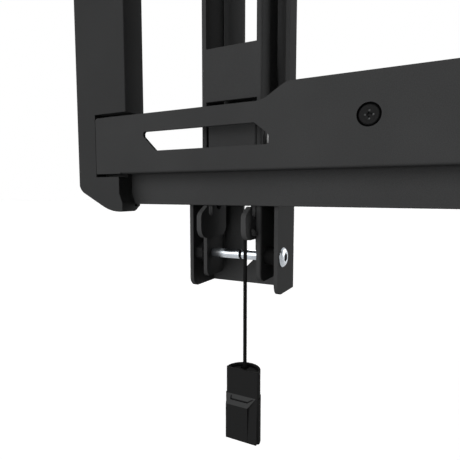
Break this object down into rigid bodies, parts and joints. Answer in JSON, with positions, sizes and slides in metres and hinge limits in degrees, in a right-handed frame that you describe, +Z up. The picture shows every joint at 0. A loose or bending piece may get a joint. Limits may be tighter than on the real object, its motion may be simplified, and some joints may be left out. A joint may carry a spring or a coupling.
{
  "type": "tv wall mount",
  "caption": "Flat tilting wall mount for a screen: slotted black rails between side frames, hook-on channels with long screw slots, and pull-cord latches with hanging tabs.",
  "frame": {"origin": "middle of the row of wall slots in the upper rail, on the wall plane", "axes": "+X to the right seen from the wall, +Y away from the wall towards the room, +Z up"},
  "size_m": [0.4464, 0.0456, 0.5623],
  "materials": {
    "black_steel": "fine-texture matt black powder coat",
    "black_plastic": "moulded, fine grain",
    "black_tab": "moulded, soft sheen",
    "black_bush": "turned, dull",
    "zinc_steel": "zinc plated",
    "black_screw": "blackened",
    "black_cord": "braided",
    "clear_vial": "clear with tinted fluid"
  },
  "bodies": {
    "wall frame": {"lower_rail": "black_steel", "upper_rail": "black_steel", "side_frame_left": "black_plastic", "side_frame_right": "black_plastic", "level_screws": "black_screw", "level_holder": "black_plastic", "level_vial": "clear_vial"},
    "left hook channel": {"hook_channel_left": "black_steel", "guide_bolt_left": "black_screw", "guide_pin_left": "zinc_steel"},
    "left tilt channel": {"tv_channel_left": "black_steel", "tilt_bolt_left": "zinc_steel", "tilt_nut_left": "black_screw", "tilt_bushes_left": "black_bush"},
    "left latch": {"latch_left": "black_steel", "pull_cord_left": "black_cord", "cord_knot_left": "black_cord", "pull_tab_left": "black_tab"},
    "right hook channel": {"hook_channel_right": "black_steel", "guide_bolt_right": "black_screw", "guide_pin_right": "zinc_steel"},
    "right tilt channel": {"tv_channel_right": "black_steel", "tilt_bolt_right": "zinc_steel", "tilt_nut_right": "black_screw", "tilt_bushes_right": "black_bush"},
    "right latch": {"latch_right": "black_steel", "pull_cord_right": "black_cord", "cord_knot_right": "black_cord", "pull_tab_right": "black_tab"}
  },
  "joints": [
    {"name": "left_bracket_slide", "type": "slide", "parent": "wall frame", "child": "left hook channel", "axis": [1, 0, 0], "range_m": [-0.036, 0.06]},
    {"name": "left_tilt", "type": "hinge", "parent": "left hook channel", "child": "left tilt channel", "pos_m": [-0.1135, 0.024, -0.2498], "axis": [-1, 0, 0], "range_deg": [0, 12]},
    {"name": "left_latch", "type": "slide", "parent": "left hook channel", "child": "left latch", "axis": [0, 0, 1], "range_m": [0, 0.006]},
    {"name": "right_bracket_slide", "type": "slide", "parent": "wall frame", "child": "right hook channel", "axis": [1, 0, 0], "range_m": [-0.06, 0.036]},
    {"name": "right_tilt", "type": "hinge", "parent": "right hook channel", "child": "right tilt channel", "pos_m": [0.1135, 0.024, -0.2498], "axis": [-1, 0, 0], "range_deg": [0, 12]},
    {"name": "right_latch", "type": "slide", "parent": "right hook channel", "child": "right latch", "axis": [0, 0, 1], "range_m": [0, 0.006]}
  ]
}
